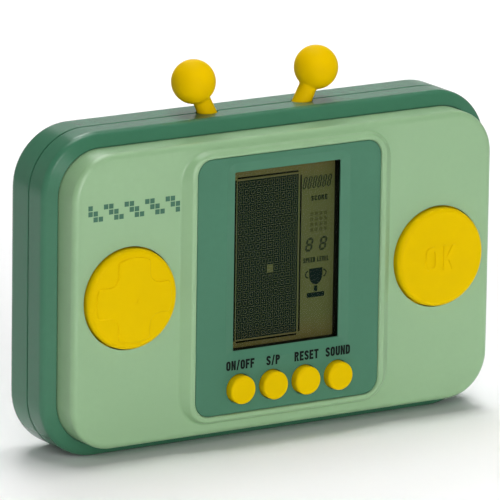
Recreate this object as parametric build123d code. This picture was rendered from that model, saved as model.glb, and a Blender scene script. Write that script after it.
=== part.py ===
from build123d import *
import os
from math import atan2, cos, degrees, radians, sin

# Handheld LCD brick-stacking game, standing upright on its long lower side.
# Millimetres. +X is to the player's right, +Z is up and the player looks along +Y.
# The origin is the middle of the flat strip that the case stands on.

# ---------------------------------------------------------------- driving dimensions
# Case outline
BODY_W = 115.0          # width of the dark green case
BODY_H = 72.8           # height of the dark green case, without the antennae
BODY_R = 13.5           # corner radius of the case outline
WALL = 1.8              # wall of all three mouldings

# Depths are distances behind the front plane of the pale face plate.
ORIGIN_DEPTH = 14.3     # depth of the origin, the middle of the flat strip underneath
PLATE_INSET = 3.3       # face plate outline, inside the case outline
PLATE_GAP = 0.35        # gap round the face plate
PLATE_EDGE_R = 1.4      # rounding of the face plate's front edge
BEVEL_TOP = 6.5         # depth where the bevel meets the face plate's side
BEVEL_FOOT = 8.0        # depth where the bevel meets the case side
BEVEL_FOOT_R = 1.6      # rounding between the bevel and the case side
SHELF_FRONT = 6.9       # depth of the shelf that carries the face plate
SHELF_T = 1.2
SHELF_REACH = 9.5       # inset of the shelf's inner edge
SEAM = 13.8             # depth of the joint between front and rear shells
SEAM_GAP = 0.4          # width of the groove that shows along the joint
SEAM_GROOVE = 0.8       # how deep it runs into the wall
SEAM_CHAMFER = 0.12
BACK = 22.7             # depth of the flat back
BACK_EDGE_R = 2.5
TONGUE = 1.1            # height of the rear shell's locating tongue

# Screen panel and its raised surround
PANEL_Z = 36.93         # height of the panel's centre, and of the two large buttons
PANEL_HALF_W = 23.7
PANEL_HALF_H = 29.0
PANEL_R = 3.6
PANEL_FRONT = -1.45     # the panel stands in front of the face plate's plane
RIM_FRONT = -1.75
RIM_W = 1.35            # width of the surround at its crest
RIM_SIDE_RUN = 2.1      # how far its flanks slope out at the left and right
RIM_END_RUN = 0.5       # and above and below
RIM_EDGE_R = 0.7
RIM_FOOT_R = 0.5
RIM_INNER = 0.3         # chamfer of the surround's inner edge
FIT = 0.1               # assembly clearance per side

# Display
WINDOW_X = -0.16
WINDOW_Z = 42.07
WINDOW_W = 27.4
WINDOW_H = 40.35
DISH_W = 2.4            # width of the shallow slope round the window
DISH_DEPTH = 0.65
LIP_T = 0.3             # panel thickness at the window's edge
LENS_MARGIN = 1.9
FRAME_MARGIN = 2.5
FRAME_FRONT = 0.05
GLASS_SEAT = 1.75       # depth of the display frame's lip, seen from behind
POLARISER_T = 0.2
GLASS_T = 0.7
GLASS_MARGIN = 1.15
CONTACT_LEDGE = 1.7     # bare strip of the front glass that carries the contacts

# Circuit board
BOARD_FRONT = 5.6
BOARD_T = 1.2
BOARD_INSET = 6.0

# Large buttons
BUTTON_X = 40.0
BUTTON_R = 11.25
BUTTON_HOLE_R = 11.6
BUTTON_RISE = 1.9       # how far the rim of the button stands out of the face plate
BUTTON_CROWN = 0.25     # extra height at the middle
BUTTON_EDGE_R = 1.3
BUTTON_WALL = 1.5
FLANGE_R = 12.1
FLANGE_T = 0.8
OK_FLANGE = 1.95        # depth of the OK button's flange
PAD_FLANGE = 3.2        # depth of the direction pad's flange, which leaves room to rock
PAD_PIVOT = 2.0         # depth of both rocking axes
PIVOT_R = 1.1
PIVOT_CLEARANCE = 0.05
PIVOT_REACH = 4.0
PLUNGER_RING = 7.2      # radius at which the pad's four plungers stand
CROSS_SPAN = 9.6        # radius at which the raised cross on the pad ends
CROSS_UPRIGHT = 4.05    # half width of its upright
CROSS_BAR = 3.5         # half width of its bar
CROSS_R = 2.4
CROSS_RISE = 0.3
CROSS_SOFTEN = 0.22     # chamfer along the cross's front edge
LETTER_H = 5.8          # raised O and K on the push button
LETTER_W = 3.4
LETTER_GAP = 1.2
LETTER_STROKE = 0.95
LETTER_X = -0.45        # the two letters sit a little left of the button's middle
LETTER_RISE = 0.22
LETTER_STEP = 0.24      # how much thinner the strokes' upper half is

# Small buttons
SMALL_X0 = -12.4
SMALL_PITCH = 8.45
SMALL_Z = 13.4
SMALL_R = 3.2
SMALL_HOLE_R = 3.4
SMALL_RISE = 2.0        # above the panel
SMALL_FLANGE_R = 3.9
SMALL_FLANGE = 1.95
SMALL_NAMES = ("on_off", "start_pause", "reset", "sound")

# Rubber domes and carbon contacts
RUBBER_T = 0.8
PAD_RUBBER_T = 0.5
PILL_T = 0.6
TRACE_T = 0.04

# Antennae
ANTENNA_X = 12.4        # where the stem's axis leaves the top of the case
ANTENNA_LEAN = 26.0     # degrees outwards from upright
ANTENNA_BALL_R = 4.95
ANTENNA_BALL_T = 8.0    # from the case to the ball's centre, along the stem
STEM_R_FOOT = 2.08
STEM_R_TOP = 1.85
STEM_HOLE_R = 2.3
NECK_R = 0.8            # blend between stem and ball
COLLAR_R = 3.4
COLLAR_T = 1.4
COLLAR_DROP = 3.8       # from the case top down to the collar, along the stem

# Batteries (AAA, IEC LR03) and their compartment
CELL_R = 5.25
CELL_L = 43.7
CELL_NUB = 0.8
CELL_DEPTH = 15.6
CELL_GAP = 0.3
BAY_Z = 24.0
BAY_HALF_L = 25.0
BAY_HALF_H = 11.2
BAY_FLOOR = 10.2
BAY_WALL = 1.2
DOOR_HALF_W = 26.6
DOOR_HALF_H = 12.8
DOOR_R = 2.0
DOOR_T = 1.6
DOOR_GAP = 0.2
DOOR_KEY_X = 15.0
DOOR_KEY_W = 6.0
DOOR_KEY_H = 1.6
LUG_R = 5.0
DOOR_SCREW_Z = 41.0

# Screws
CASE_SCREW_X = 46.5
CASE_SCREW_Z = 25.5     # above and below the middle of the case
SCREW_SEAT = 12.0
SCREW_R = 0.98
SCREW_HEAD_R = 2.1
SCREW_WELL_R = 2.6
BOARD_SCREWS = ((-21.5, 61.0), (21.5, 61.0), (-21.5, 11.6), (21.5, 11.6))

# Buzzer
BUZZER_X = -31.0
BUZZER_Z = 54.0
BUZZER_R = 10.0

BODY_Z = BODY_H / 2     # height of the case's middle
TINY = 0.05


# ---------------------------------------------------------------- helpers
def y_at(depth):
    """Y of a point that lies this far behind the face plate's front plane."""
    return depth - ORIGIN_DEPTH


def slab(sketch, front, back):
    """Solid with this front outline, between two depths."""
    plane = Plane.XZ.offset(-y_at(back))
    return extrude(plane * sketch, amount=back - front)


def case_outline(inset):
    """Rounded outline of the case, moved inwards."""
    shape = RectangleRounded(BODY_W - 2 * inset, BODY_H - 2 * inset, BODY_R - inset)
    return Pos(0, BODY_Z) * shape


def block(x0, x1, front, back, z0, z1):
    """Box between two X values, two depths and two heights."""
    outline = Pos((x0 + x1) / 2, (z0 + z1) / 2) * Rectangle(x1 - x0, z1 - z0)
    return slab(outline, front, back)


def disc(x, z, r, front, back):
    """Round bar along Y."""
    return slab(Pos(x, z) * Circle(r), front, back)


def rounded(x, z, half_w, half_h, r, front, back):
    """Rounded rectangular bar along Y."""
    return slab(Pos(x, z) * RectangleRounded(2 * half_w, 2 * half_h, r), front, back)


def cone(x, z, r_front, r_back, front, back):
    """Cone along Y, between two depths."""
    middle = Plane.XZ.offset(-y_at((front + back) / 2))
    return middle * (Pos(x, z) * Cone(r_back, r_front, back - front))


def edges_at(solid, depth, tolerance=0.01):
    """Edges that lie wholly at one depth."""
    y = y_at(depth)
    return solid.edges().filter_by_position(Axis.Y, y - tolerance, y + tolerance)


def case_screw_places():
    return [
        (side * CASE_SCREW_X, BODY_Z + level * CASE_SCREW_Z)
        for level in (-1, 1)
        for side in (-1, 1)
    ]


def small_button_places():
    return [(SMALL_X0 + i * SMALL_PITCH, SMALL_Z) for i in range(len(SMALL_NAMES))]


def cross_drive(x, z, size, front, back):
    """Cross-shaped driver recess of a screw."""
    bar = Rectangle(size, size / 4) + Rectangle(size / 4, size)
    return slab(Pos(x, z) * bar, front, back)


def screw(x, z, head_front, head_t, head_r, tip, shank_r):
    """Pan-head screw driven from behind: head behind head_front, shank forward to tip."""
    head = disc(x, z, head_r, head_front, head_front + head_t)
    head = fillet(edges_at(head, head_front + head_t), head_t * 0.45)
    shank = disc(x, z, shank_r, tip + shank_r, head_front + TINY)
    point = cone(x, z, shank_r * 0.3, shank_r, tip, tip + shank_r)
    drive = cross_drive(x, z, head_r * 1.15, head_front + head_t * 0.4, head_front + head_t + 1)
    return head + shank + point - drive


# ---------------------------------------------------------------- case
def antenna_frame(side):
    """Plane on a stem's axis, at the top of the case, with Z along the stem."""
    lean = radians(ANTENNA_LEAN)
    along = (side * sin(lean), 0, cos(lean))
    return Plane(origin=(side * ANTENNA_X, y_at(SEAM), BODY_H), x_dir=(0, 1, 0), z_dir=along)


def antenna_holes():
    """Bores for both stems through the top wall."""
    bores = []
    for side in (-1, 1):
        bores.append(antenna_frame(side) * Cylinder(STEM_HOLE_R, 3 * COLLAR_DROP))
    return bores


def make_front_shell():
    """Dark middle moulding: bevel, side walls and the shelf under the face plate."""
    rim = Plane.XZ.offset(-y_at(BEVEL_TOP)) * case_outline(PLATE_INSET - PLATE_GAP)
    foot = Plane.XZ.offset(-y_at(BEVEL_FOOT)) * case_outline(0)
    bevel = loft([rim, foot], ruled=True)
    shell = bevel + slab(case_outline(0), BEVEL_FOOT, SEAM)
    shell = fillet(edges_at(shell, BEVEL_FOOT), BEVEL_FOOT_R)
    shell = chamfer(edges_at(shell, SEAM), SEAM_CHAMFER)
    shelf_back = SHELF_FRONT + SHELF_T
    shell -= slab(case_outline(PLATE_INSET - PLATE_GAP), BEVEL_TOP - 1, SHELF_FRONT)
    shell -= slab(case_outline(SHELF_REACH), SHELF_FRONT - 1, shelf_back + 1)
    shell -= slab(case_outline(WALL), shelf_back, SEAM + 1)
    shell -= slab(case_outline(WALL / 2), SEAM - TONGUE - FIT, SEAM + 1)
    for x, z in case_screw_places():
        shell += disc(x, z, 4.4, SHELF_FRONT, shelf_back)
    for x, z in case_screw_places():
        shell -= disc(x, z, 1.25, SHELF_FRONT - 1, shelf_back + 1)
    for bore in antenna_holes():
        shell -= bore
    return shell


def make_rear_shell():
    """Dark rear moulding with battery bay, screw wells and buzzer seat."""
    shell = slab(case_outline(0), SEAM + SEAM_GAP, BACK)
    shell = fillet(edges_at(shell, BACK), BACK_EDGE_R)
    shell = chamfer(edges_at(shell, SEAM + SEAM_GAP), SEAM_CHAMFER)
    shell += slab(case_outline(SEAM_GROOVE), SEAM, SEAM + SEAM_GAP + TINY)
    inner_back = BACK - WALL
    shell -= slab(case_outline(WALL), SEAM - 1, inner_back)
    tongue = slab(case_outline(WALL / 2 + FIT), SEAM - TONGUE, SEAM + 1)
    shell += tongue - slab(case_outline(WALL), SEAM - TONGUE - 1, SEAM + 2)
    shell += battery_bay_walls(inner_back)
    shell -= battery_bay_cavity()
    for x, z in case_screw_places():
        shell += disc(x, z, SCREW_WELL_R + 1.0, SHELF_FRONT + SHELF_T + FIT, inner_back + TINY)
    for x, z in case_screw_places():
        shell -= disc(x, z, SCREW_WELL_R, SCREW_SEAT, BACK + 1)
        shell -= disc(x, z, 1.25, SHELF_FRONT, SCREW_SEAT + 1)
    shell += disc(BUZZER_X, BUZZER_Z, BUZZER_R + 1.4, inner_back - 2.0, inner_back + TINY)
    shell -= disc(BUZZER_X, BUZZER_Z, BUZZER_R + 0.15, inner_back - 3, inner_back - 0.5)
    shell -= disc(BUZZER_X, BUZZER_Z, BUZZER_R - 1.2, inner_back - 3, inner_back)
    for place in PolarLocations(4.0, 6):
        shell -= disc(BUZZER_X + place.position.X, BUZZER_Z + place.position.Y, 0.8, BACK - 3, BACK + 1)
    shell -= disc(BUZZER_X, BUZZER_Z, 0.8, BACK - 3, BACK + 1)
    for bore in antenna_holes():
        shell -= bore
    return shell


def door_outline(gap):
    """Door outline with its two keys below and its screw lug above."""
    body = Pos(0, BAY_Z) * RectangleRounded(
        2 * (DOOR_HALF_W + gap), 2 * (DOOR_HALF_H + gap), DOOR_R + gap
    )
    keys = []
    for side in (-1, 1):
        key = RectangleRounded(DOOR_KEY_W + 2 * gap, 2 * (DOOR_KEY_H + gap), 0.6 + gap)
        keys.append(Pos(side * DOOR_KEY_X, BAY_Z - DOOR_HALF_H) * key)
    lug = Pos(0, DOOR_SCREW_Z) * Circle(LUG_R + gap)
    neck_h = DOOR_SCREW_Z - BAY_Z
    neck = Pos(0, BAY_Z + neck_h / 2) * Rectangle(2 * (LUG_R + gap), neck_h)
    return body + keys[0] + keys[1] + lug + neck


def battery_bay_walls(inner_back):
    """Well that holds the two cells, the ledge under the door and the door's screw boss."""
    well = block(
        -BAY_HALF_L - BAY_WALL, BAY_HALF_L + BAY_WALL, BAY_FLOOR - BAY_WALL, inner_back + TINY,
        BAY_Z - BAY_HALF_H - BAY_WALL, BAY_Z + BAY_HALF_H + BAY_WALL,
    )
    ledge_front = BACK - DOOR_T - 1.4
    ledge = rounded(
        0, BAY_Z, DOOR_HALF_W + 1.4, DOOR_HALF_H + 1.4, DOOR_R, ledge_front, inner_back + TINY
    )
    for side in (-1, 1):
        ledge += block(
            side * DOOR_KEY_X - 4.4, side * DOOR_KEY_X + 4.4, ledge_front, inner_back + TINY,
            BAY_Z - DOOR_HALF_H - DOOR_KEY_H - 1.4, BAY_Z,
        )
    lug = disc(0, DOOR_SCREW_Z, LUG_R + 1.4, ledge_front, inner_back + TINY)
    neck = block(-LUG_R - 1.4, LUG_R + 1.4, ledge_front, inner_back + TINY, BAY_Z, DOOR_SCREW_Z)
    boss = disc(0, DOOR_SCREW_Z, 2.6, 14.5, inner_back)
    return well + ledge + lug + neck + boss


def battery_bay_cavity():
    """Space for the cells, the door's recess and the hole for its screw."""
    cavity = rounded(0, BAY_Z, BAY_HALF_L, BAY_HALF_H, 0.8, BAY_FLOOR, BACK + 1)
    cavity += slab(door_outline(DOOR_GAP), BACK - DOOR_T, BACK + 1)
    cavity += disc(0, DOOR_SCREW_Z, 1.0, 14.0, BACK)
    for level in (-1, 1):
        z = BAY_Z + level * (CELL_R + CELL_GAP / 2)
        cavity += block(-BAY_HALF_L - 3, -BAY_HALF_L + 1, 13.0, 15.0, z - 1.2, z + 1.2)
    return cavity


def round_panel(depth, side_gap, end_gap):
    """Outline at one depth, wider than the panel at the sides and at the ends."""
    outline = RectangleRounded(
        2 * (PANEL_HALF_W + side_gap), 2 * (PANEL_HALF_H + end_gap), PANEL_R + side_gap
    )
    return Plane.XZ.offset(-y_at(depth)) * (Pos(0, PANEL_Z) * outline)


def make_face_plate():
    """Pale front moulding with the raised surround of the screen panel."""
    plate = slab(case_outline(PLATE_INSET), 0, SHELF_FRONT)
    plate = fillet(edges_at(plate, 0), PLATE_EDGE_R)
    foot_w = RIM_W + RIM_SIDE_RUN
    foot_h = RIM_W + RIM_END_RUN
    rim = loft([round_panel(RIM_FRONT, RIM_W, RIM_W), round_panel(0, foot_w, foot_h)], ruled=True)
    rim = fillet(edges_at(rim, RIM_FRONT), RIM_EDGE_R)
    plate += rim
    foot = [e for e in edges_at(plate, 0) if abs(e.center().X) < PANEL_HALF_W + foot_w + 0.3]
    foot = [e for e in foot if abs(e.center().Z - PANEL_Z) < PANEL_HALF_H + foot_h + 0.2]
    plate = fillet(foot, RIM_FOOT_R)
    plate -= slab(case_outline(PLATE_INSET + WALL), WALL, SHELF_FRONT + 1)
    plate += rounded(
        0, PANEL_Z, PANEL_HALF_W + RIM_W, PANEL_HALF_H - 1, PANEL_R, 0.5, WALL
    )
    plate -= rounded(
        0, PANEL_Z, PANEL_HALF_W + FIT, PANEL_HALF_H + FIT, PANEL_R + FIT, RIM_FRONT - 1, 0
    )
    mouth = round_panel(RIM_FRONT - TINY, FIT + RIM_INNER, FIT + RIM_INNER)
    plate -= loft([mouth, round_panel(RIM_FRONT + RIM_INNER, FIT, FIT)], ruled=True)
    plate -= rounded(
        WINDOW_X, WINDOW_Z, WINDOW_W / 2 + FRAME_MARGIN + FIT, WINDOW_H / 2 + FRAME_MARGIN + FIT,
        0.6, -1, WALL + 1,
    )
    for side in (-1, 1):
        plate -= disc(side * BUTTON_X, PANEL_Z, BUTTON_HOLE_R, -1, WALL + 1)
    for x, z in small_button_places():
        plate -= disc(x, z, SMALL_HOLE_R, -1, WALL + 1)
    for x, z in case_screw_places():
        plate += disc(x, z, 3.0, WALL - TINY, SHELF_FRONT)
        plate -= disc(x, z, 1.0, 2.6, SHELF_FRONT + 1)
    for x, z in BOARD_SCREWS:
        plate += disc(x, z, 2.2, WALL - TINY, BOARD_FRONT)
        plate -= disc(x, z, 0.8, 2.2, BOARD_FRONT + 1)
    return plate


def make_screen_panel():
    """Dark panel with a shallow dished slope round the window and four button holes."""
    panel = rounded(0, PANEL_Z, PANEL_HALF_W, PANEL_HALF_H, PANEL_R, PANEL_FRONT, 0)
    panel = fillet(edges_at(panel, PANEL_FRONT), 0.2)
    rim_w = WINDOW_W / 2 + DISH_W
    rim_h = WINDOW_H / 2 + DISH_W
    front = Plane.XZ.offset(-y_at(PANEL_FRONT - TINY))
    floor = Plane.XZ.offset(-y_at(PANEL_FRONT + DISH_DEPTH))
    wide = front * (Pos(WINDOW_X, WINDOW_Z) * RectangleRounded(2 * rim_w, 2 * rim_h, DISH_W))
    near = floor * (Pos(WINDOW_X, WINDOW_Z) * RectangleRounded(WINDOW_W, WINDOW_H, 0.3))
    panel -= loft([wide, near], ruled=True)
    panel -= rounded(WINDOW_X, WINDOW_Z, WINDOW_W / 2, WINDOW_H / 2, 0.3, PANEL_FRONT - 1, 1)
    panel -= rounded(
        WINDOW_X, WINDOW_Z, WINDOW_W / 2 + LENS_MARGIN + FIT, WINDOW_H / 2 + LENS_MARGIN + FIT,
        0.6, PANEL_FRONT + DISH_DEPTH + LIP_T, 1,
    )
    for x, z in small_button_places():
        panel -= disc(x, z, SMALL_HOLE_R, PANEL_FRONT - 1, 1)
    return panel


# ---------------------------------------------------------------- display
def make_lens():
    """Clear window, let into the back of the panel."""
    return rounded(
        WINDOW_X, WINDOW_Z, WINDOW_W / 2 + LENS_MARGIN, WINDOW_H / 2 + LENS_MARGIN, 0.5,
        PANEL_FRONT + DISH_DEPTH + LIP_T, 0,
    )


def glass_rows():
    """Bottom and top of the front glass."""
    return WINDOW_Z - WINDOW_H / 2 - CONTACT_LEDGE, WINDOW_Z + WINDOW_H / 2 + GLASS_MARGIN


def make_display_frame():
    """Black frame round the display, whose bore shows as the window's dark sides."""
    frame = rounded(
        WINDOW_X, WINDOW_Z, WINDOW_W / 2 + FRAME_MARGIN, WINDOW_H / 2 + FRAME_MARGIN, 0.5,
        FRAME_FRONT, BOARD_FRONT - TINY,
    )
    frame -= rounded(
        WINDOW_X, WINDOW_Z, WINDOW_W / 2 + FIT, WINDOW_H / 2 + FIT, 0.3, -1, BOARD_FRONT
    )
    low, high = glass_rows()
    frame -= block(
        WINDOW_X - WINDOW_W / 2 - GLASS_MARGIN - FIT, WINDOW_X + WINDOW_W / 2 + GLASS_MARGIN + FIT,
        GLASS_SEAT, BOARD_FRONT, low - FIT, high + FIT,
    )
    return frame


def display_sheet(front, thickness, margin, low):
    """One flat layer of the display."""
    half = WINDOW_W / 2 + margin
    high = WINDOW_Z + WINDOW_H / 2 + margin
    return block(WINDOW_X - half, WINDOW_X + half, front, front + thickness, low, high)


def make_display():
    """The layers of the display, from the front polariser to the contact strip."""
    low, _ = glass_rows()
    bare = WINDOW_Z - WINDOW_H / 2
    front = GLASS_SEAT + TINY
    first_glass = front + POLARISER_T
    second_glass = first_glass + GLASS_T
    reflector = second_glass + GLASS_T
    zebra = rounded(
        WINDOW_X, bare - 0.9, WINDOW_W / 2, 0.65, 0.2, second_glass + TINY, BOARD_FRONT
    )
    return {
        "display_polariser": display_sheet(front, POLARISER_T, 0.6, bare - 0.3),
        "display_front_glass": display_sheet(first_glass, GLASS_T, GLASS_MARGIN, low),
        "display_rear_glass": display_sheet(second_glass, GLASS_T, GLASS_MARGIN, bare - 0.1),
        "display_reflector": display_sheet(reflector, POLARISER_T, 0.6, bare),
        "zebra_strip": zebra,
    }


# ---------------------------------------------------------------- large buttons
def crown_ball(x, rise):
    """Large sphere whose front is a button's crowned face, moved forward by this much."""
    flat_r = BUTTON_R - BUTTON_EDGE_R
    ball_r = (flat_r ** 2 + BUTTON_CROWN ** 2) / (2 * BUTTON_CROWN)
    return Pos(x, y_at(ball_r - BUTTON_RISE - BUTTON_CROWN - rise), PANEL_Z) * Sphere(ball_r)


def button_cup(x, flange, roof):
    """Crowned round cap with a flange behind the face plate, hollow behind its roof."""
    cap = disc(x, PANEL_Z, BUTTON_R, -BUTTON_RISE, flange + FLANGE_T)
    cap = fillet(edges_at(cap, -BUTTON_RISE), BUTTON_EDGE_R)
    crown_r = BUTTON_R - BUTTON_EDGE_R + 0.4
    cap += crown_ball(x, 0) & disc(x, PANEL_Z, crown_r, -BUTTON_RISE - 1, -BUTTON_RISE + TINY)
    cap += disc(x, PANEL_Z, FLANGE_R, flange, flange + FLANGE_T)
    cap -= disc(x, PANEL_Z, BUTTON_R - BUTTON_WALL, roof, flange + FLANGE_T + 1)
    return cap


def raised_mark(x, outline, rise):
    """Low relief on a button's crown, this high all over."""
    prism = slab(Pos(x, PANEL_Z) * outline, -BUTTON_RISE - 2, -BUTTON_RISE + 0.3)
    return crown_ball(x, rise) & prism


def cross_outline():
    """Cross with rounded inner corners whose four ends follow the pad's round edge."""
    cross = Rectangle(2 * CROSS_UPRIGHT, 3 * CROSS_SPAN) + Rectangle(3 * CROSS_SPAN, 2 * CROSS_BAR)
    inner = [v for v in cross.vertices() if max(abs(v.X), abs(v.Y)) < CROSS_SPAN]
    cross = fillet(inner, CROSS_R)
    cross = cross & Circle(CROSS_SPAN)
    tips = [v for v in cross.vertices() if Vector(v.X, v.Y).length > CROSS_SPAN - 0.01]
    return fillet(tips, 0.8)


def letter_outlines(slim):
    """Plain block O and K, side by side about the middle, with strokes this much thinner."""
    half = (LETTER_W + LETTER_GAP) / 2
    stroke = LETTER_STROKE - slim
    height = LETTER_H - slim
    width = LETTER_W - slim
    ring = SlotOverall(height, width, rotation=90)
    ring -= SlotOverall(height - 2 * stroke, width - 2 * stroke, rotation=90)
    post_x = (LETTER_STROKE - LETTER_W) / 2
    post = Pos(post_x, 0) * Rectangle(stroke, height)
    arm_start = (post_x + LETTER_STROKE / 2, -0.1 * LETTER_H)
    leg_start = (post_x + 1.2 * LETTER_STROKE, 0.04 * LETTER_H)
    arm = thick_line(arm_start, (-post_x, LETTER_H / 2), stroke)
    leg = thick_line(leg_start, (-post_x, -LETTER_H / 2), stroke)
    frame = Rectangle(width, height)
    return (Pos(-half, 0) * ring, Pos(half, 0) * (post + ((arm + leg) & frame)))


def thick_line(start, end, stroke):
    """Bar of one stroke's width between two points, a little longer than their distance."""
    run = Vector(*end) - Vector(*start)
    middle = Vector(*start) + run / 2
    angle = degrees(atan2(run.Y, run.X))
    bar = Rectangle(run.length + LETTER_STROKE, stroke)
    return Pos(middle.X, middle.Y) * Rot(0, 0, angle) * bar


def make_dpad_button():
    """Direction pad: a disc with a low raised cross, four plungers and two pivot ribs."""
    roof = 0.0
    x = -BUTTON_X
    pad = button_cup(x, PAD_FLANGE, roof)
    cross = raised_mark(x, cross_outline(), CROSS_RISE)
    pad += chamfer(cross.faces().filter_by(GeomType.SPHERE).edges(), CROSS_SOFTEN)
    pad -= disc(x, PANEL_Z, 0.7, -BUTTON_RISE - 2, -BUTTON_RISE - BUTTON_CROWN - CROSS_RISE + 0.1)
    for place in PolarLocations(PLUNGER_RING, 4):
        pad += disc(x + place.position.X, PANEL_Z + place.position.Y, 1.6, roof - TINY, PAD_FLANGE)
    for side in (-1, 1):
        z = PANEL_Z + side * 3.0
        pad += block(x - 1.7, x + 1.7, roof - TINY, PAD_PIVOT + 1.5, z - 0.6, z + 0.6)
    bore = Cylinder(PIVOT_R + PIVOT_CLEARANCE, 2 * PIVOT_REACH)
    pad -= Pos(x, y_at(PAD_PIVOT), PANEL_Z) * bore
    return pad


def make_dpad_rocker():
    """Cross-shaped pivot: one bar rests in the support, the other carries the pad."""
    bar = Cylinder(PIVOT_R, 2 * PIVOT_REACH)
    middle = Pos(-BUTTON_X, y_at(PAD_PIVOT), PANEL_Z)
    return middle * bar + middle * (Rotation(0, 90, 0) * bar)


def make_dpad_support():
    """Two bearing posts on a round foot, standing on the circuit board."""
    x = -BUTTON_X
    support = disc(x, PANEL_Z, 4.6, BOARD_FRONT - 1.0, BOARD_FRONT)
    for side in (-1, 1):
        post = x + side * 3.0
        support += block(post - 0.6, post + 0.6, 0.55, BOARD_FRONT - 0.5, PANEL_Z - 1.7, PANEL_Z + 1.7)
    bore = Rotation(0, 90, 0) * Cylinder(PIVOT_R + PIVOT_CLEARANCE, 3 * PIVOT_REACH)
    return support - Pos(x, y_at(PAD_PIVOT), PANEL_Z) * bore


def make_ok_button():
    """Push button with a low raised O and K and a middle plunger."""
    roof = 0.2
    button = button_cup(BUTTON_X, OK_FLANGE, roof)
    for step in (1, 2):
        for letter in letter_outlines((step - 1) * LETTER_STEP):
            button += raised_mark(BUTTON_X, Pos(LETTER_X, 0) * letter, step * LETTER_RISE / 2)
    return button + disc(BUTTON_X, PANEL_Z, 2.5, roof - TINY, OK_FLANGE + 0.95)


def rubber_dome(x, z, foot_r, top_r, top, base, wall):
    """Hollow rubber cone that a plunger presses, open underneath."""
    outer = cone(x, z, top_r, foot_r, top, base)
    return outer, cone(x, z, top_r - wall, foot_r - wall, top + wall, base + TINY)


def make_ok_rubber():
    """Rubber dome under the OK button."""
    base = BOARD_FRONT - RUBBER_T
    outer, hollow = rubber_dome(BUTTON_X, PANEL_Z, 5.0, 3.2, OK_FLANGE + 1.05, base, 0.7)
    mat = disc(BUTTON_X, PANEL_Z, 8.5, base, BOARD_FRONT - TRACE_T) + outer
    return mat - hollow - disc(BUTTON_X, PANEL_Z, 4.2, base - TINY, BOARD_FRONT)


def make_dpad_rubber():
    """Rubber mat with four domes under the direction pad."""
    x = -BUTTON_X
    base = BOARD_FRONT - PAD_RUBBER_T
    mat = disc(x, PANEL_Z, 10.4, base, BOARD_FRONT - TRACE_T) - disc(x, PANEL_Z, 4.9, 0, 9)
    for place in PolarLocations(PLUNGER_RING, 4):
        px = x + place.position.X
        pz = PANEL_Z + place.position.Y
        outer, hollow = rubber_dome(px, pz, 2.6, 2.2, PAD_FLANGE + 0.1, base, 0.5)
        mat = mat + outer - hollow - disc(px, pz, 2.1, base - TINY, BOARD_FRONT)
    return mat


def make_small_rubber():
    """Rubber strip with a dome under each small button."""
    base = BOARD_FRONT - RUBBER_T
    middle = SMALL_X0 + SMALL_PITCH * (len(SMALL_NAMES) - 1) / 2
    strip = rounded(middle, SMALL_Z, 17.0, 4.0, 1.0, base, BOARD_FRONT - TRACE_T)
    for x, z in small_button_places():
        outer, hollow = rubber_dome(x, z, 3.2, 2.4, 3.1, base, 0.6)
        strip = strip + outer - hollow - disc(x, z, 2.6, base - TINY, BOARD_FRONT)
    return strip


def make_small_button(x, z):
    """Round key with a flange behind the panel and a short plunger."""
    front = PANEL_FRONT - SMALL_RISE
    key = disc(x, z, SMALL_R, front, SMALL_FLANGE + 0.65)
    key = fillet(edges_at(key, front), 0.6)
    key += disc(x, z, SMALL_FLANGE_R, SMALL_FLANGE, SMALL_FLANGE + 0.65)
    return key + disc(x, z, 1.6, SMALL_FLANGE, 3.0)


# ---------------------------------------------------------------- electronics
def make_board():
    """Circuit board with clearance holes for the case bosses and its own screws."""
    board = slab(case_outline(BOARD_INSET), BOARD_FRONT, BOARD_FRONT + BOARD_T)
    for x, z in case_screw_places():
        board -= disc(x, z, 3.3, BOARD_FRONT - 1, BOARD_FRONT + BOARD_T + 1)
    for x, z in BOARD_SCREWS:
        board -= disc(x, z, 1.0, BOARD_FRONT - 1, BOARD_FRONT + BOARD_T + 1)
    return board


def pad_places():
    """Centres of the contact pads under the direction pad."""
    return [
        (-BUTTON_X + place.position.X, PANEL_Z + place.position.Y)
        for place in PolarLocations(PLUNGER_RING, 4)
    ]


def make_contact_pads():
    """Printed contact pads under every dome."""
    front = BOARD_FRONT - TRACE_T
    pads = [disc(BUTTON_X, PANEL_Z, 3.4, front, BOARD_FRONT)]
    pads += [disc(x, z, 1.9, front, BOARD_FRONT) for x, z in pad_places()]
    pads += [disc(x, z, 2.2, front, BOARD_FRONT) for x, z in small_button_places()]
    return pads


def make_chip():
    """Domed black resin over the bonded chip on the back of the board."""
    back = BOARD_FRONT + BOARD_T
    dome = Pos(6, y_at(back - 13.4), 33) * Sphere(15.0)
    return dome & disc(6, 33, 8.0, back, back + 3)


def make_small_components():
    """Surface-mounted resistors, capacitors and a transistor."""
    back = BOARD_FRONT + BOARD_T
    pieces = []
    for i in range(6):
        x = 20 + 3.2 * i
        pieces.append(block(x - 0.6, x + 0.6, back, back + 0.6, 24, 26.2))
    for i in range(4):
        z = 38 + 3.4 * i
        pieces.append(block(-14, -11.8, back, back + 0.7, z - 0.6, z + 0.6))
    pieces.append(block(-8, -5, back, back + 1.1, 50, 51.6))
    return pieces


def make_capacitor():
    """Electrolytic capacitor lying on the board."""
    back = BOARD_FRONT + BOARD_T
    lying = Rotation(0, 90, 0) * Cylinder(2.0, 7.0)
    return Pos(38, y_at(back + 2.05), 56) * lying


def make_buzzer():
    """Brass piezo disc with its ceramic layer."""
    back = BACK - WALL - 0.5
    plate = disc(BUZZER_X, BUZZER_Z, BUZZER_R, back - 0.3, back)
    return plate + disc(BUZZER_X, BUZZER_Z, 7.0, back - 0.5, back - 0.3)


def wire(points, radii, r=0.5):
    """Insulated wire along straight runs with rounded turns."""
    path = FilletPolyline(*points, radius=radii)
    start = Plane(origin=path @ 0, z_dir=path % 0)
    return sweep(start * Circle(r), path=path)


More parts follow.
